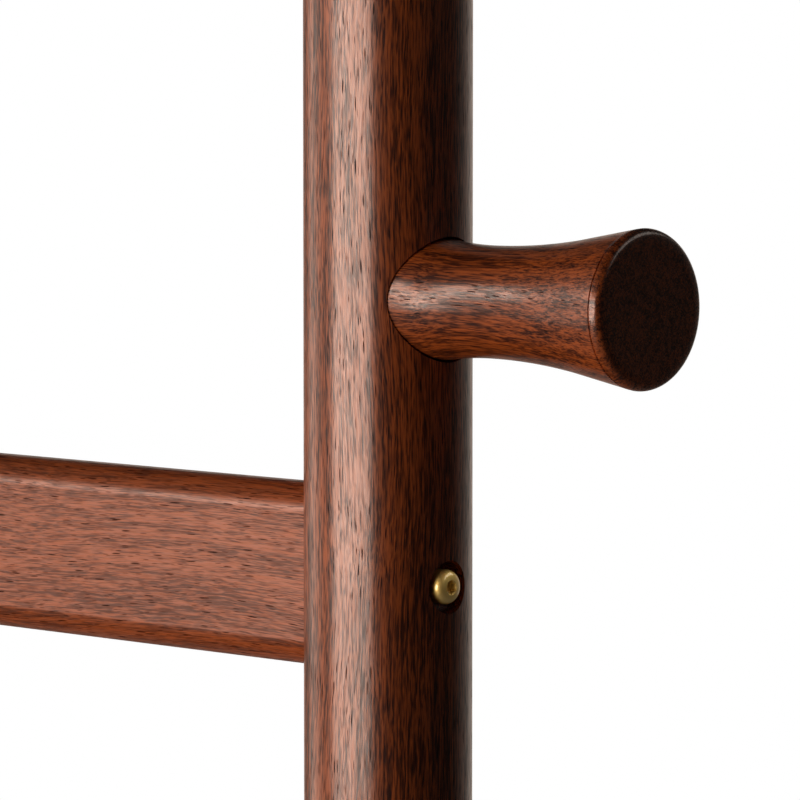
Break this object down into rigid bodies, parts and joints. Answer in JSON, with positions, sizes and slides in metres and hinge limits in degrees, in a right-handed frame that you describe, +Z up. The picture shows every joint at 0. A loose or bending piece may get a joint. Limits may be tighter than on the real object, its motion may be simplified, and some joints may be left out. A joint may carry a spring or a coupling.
{
  "type": "folding luggage rack",
  "caption": "Dark wood luggage rack with a tall pegged back frame and a slatted deck that folds flat with its legs.",
  "frame": {"origin": "on the floor, at the middle of the footprint", "axes": "+Z up, +X to the rack's right along the rails, -Y towards the front of the deck"},
  "size_m": [0.7432, 0.4619, 1.09],
  "materials": {
    "dark_wood": "satin lacquer",
    "peg_wood": "satin lacquer",
    "dowel_wood": "raw beech",
    "brass": "polished",
    "brass_spacer": "turned",
    "steel": "zinc plated",
    "glide": "matt nylon"
  },
  "bodies": {
    "back_frame": {"left_post": "dark_wood", "right_post": "dark_wood", "top_rail": "dark_wood", "lower_rail": "dark_wood", "left_peg": "peg_wood", "right_peg": "peg_wood", "peg_hanger_bolts": "steel", "rail_bolts": "brass", "rail_barrel_nuts": "steel", "rail_dowels": "dowel_wood", "stop_pins": "brass", "post_glides": "glide", "deck_pivot_spacers": "brass_spacer"},
    "deck": {"left_side_bar": "dark_wood", "right_side_bar": "dark_wood", "front_rail": "dark_wood", "slat_1": "dark_wood", "slat_2": "dark_wood", "slat_3": "dark_wood", "slat_4": "dark_wood", "slat_5": "dark_wood", "slat_6": "dark_wood", "slat_7": "dark_wood", "slat_dowels": "dowel_wood", "front_rail_bolts": "brass", "front_rail_barrel_nuts": "steel", "front_rail_dowels": "dowel_wood", "deck_pivot_bolts": "brass", "deck_pivot_inserts": "brass"},
    "leg_frame": {"left_leg": "dark_wood", "right_leg": "dark_wood", "leg_rail": "dark_wood", "leg_rail_bolts": "brass", "leg_rail_barrel_nuts": "steel", "leg_rail_dowels": "dowel_wood", "leg_pivot_bolts": "brass", "leg_pivot_inserts": "brass", "leg_pivot_spacers": "brass_spacer", "leg_glides": "glide"}
  },
  "joints": [
    {"name": "deck_fold", "type": "hinge", "parent": "back_frame", "child": "deck", "pos_m": [0, 0.20899, 0.46], "axis": [1, 0, 0], "range_deg": [0, 90]},
    {"name": "leg_fold", "type": "hinge", "parent": "deck", "child": "leg_frame", "pos_m": [0, -0.17101, 0.46], "axis": [1, 0, 0], "range_deg": [0, 95]}
  ]
}
